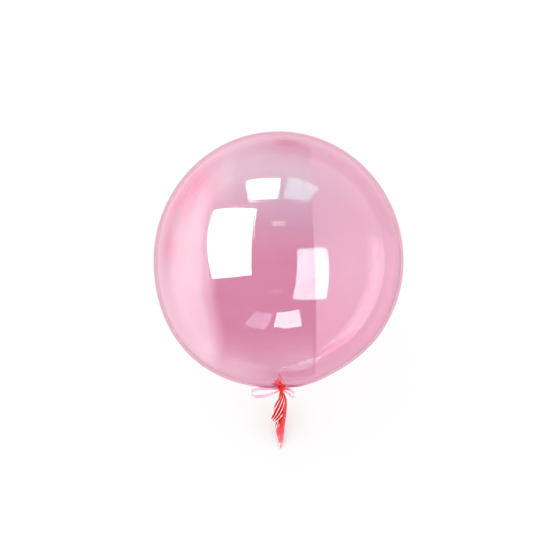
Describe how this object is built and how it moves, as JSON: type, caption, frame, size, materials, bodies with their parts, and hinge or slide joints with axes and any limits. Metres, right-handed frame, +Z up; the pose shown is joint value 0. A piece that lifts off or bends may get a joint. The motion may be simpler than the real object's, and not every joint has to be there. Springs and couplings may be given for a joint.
{
  "type": "bubble balloon",
  "caption": "Round bubble balloon of clear pink film, blown up, gathered and tied at the neck with a film ribbon, with a crumpled tail, lying on its side.",
  "frame": {"origin": "on the floor, in the middle of the small flat spot that the bubble rests on", "axes": "+Z up, away from the floor; +Y along the floor from the tail side to the crown side, the part's longest extent; +X to the right as seen from the tail side"},
  "size_m": [0.6093, 0.6482, 0.6162],
  "materials": {
    "bubble_film": "clear glossy pink stretch film, see-through, deep red where many layers are gathered at the neck and in the tail",
    "ribbon_film": "narrow strip of the same glossy translucent pink film, red where it is knotted"
  },
  "bodies": {
    "root": {"balloon_film": "bubble_film", "tie_ribbon": "ribbon_film"}
  },
  "joints": []
}
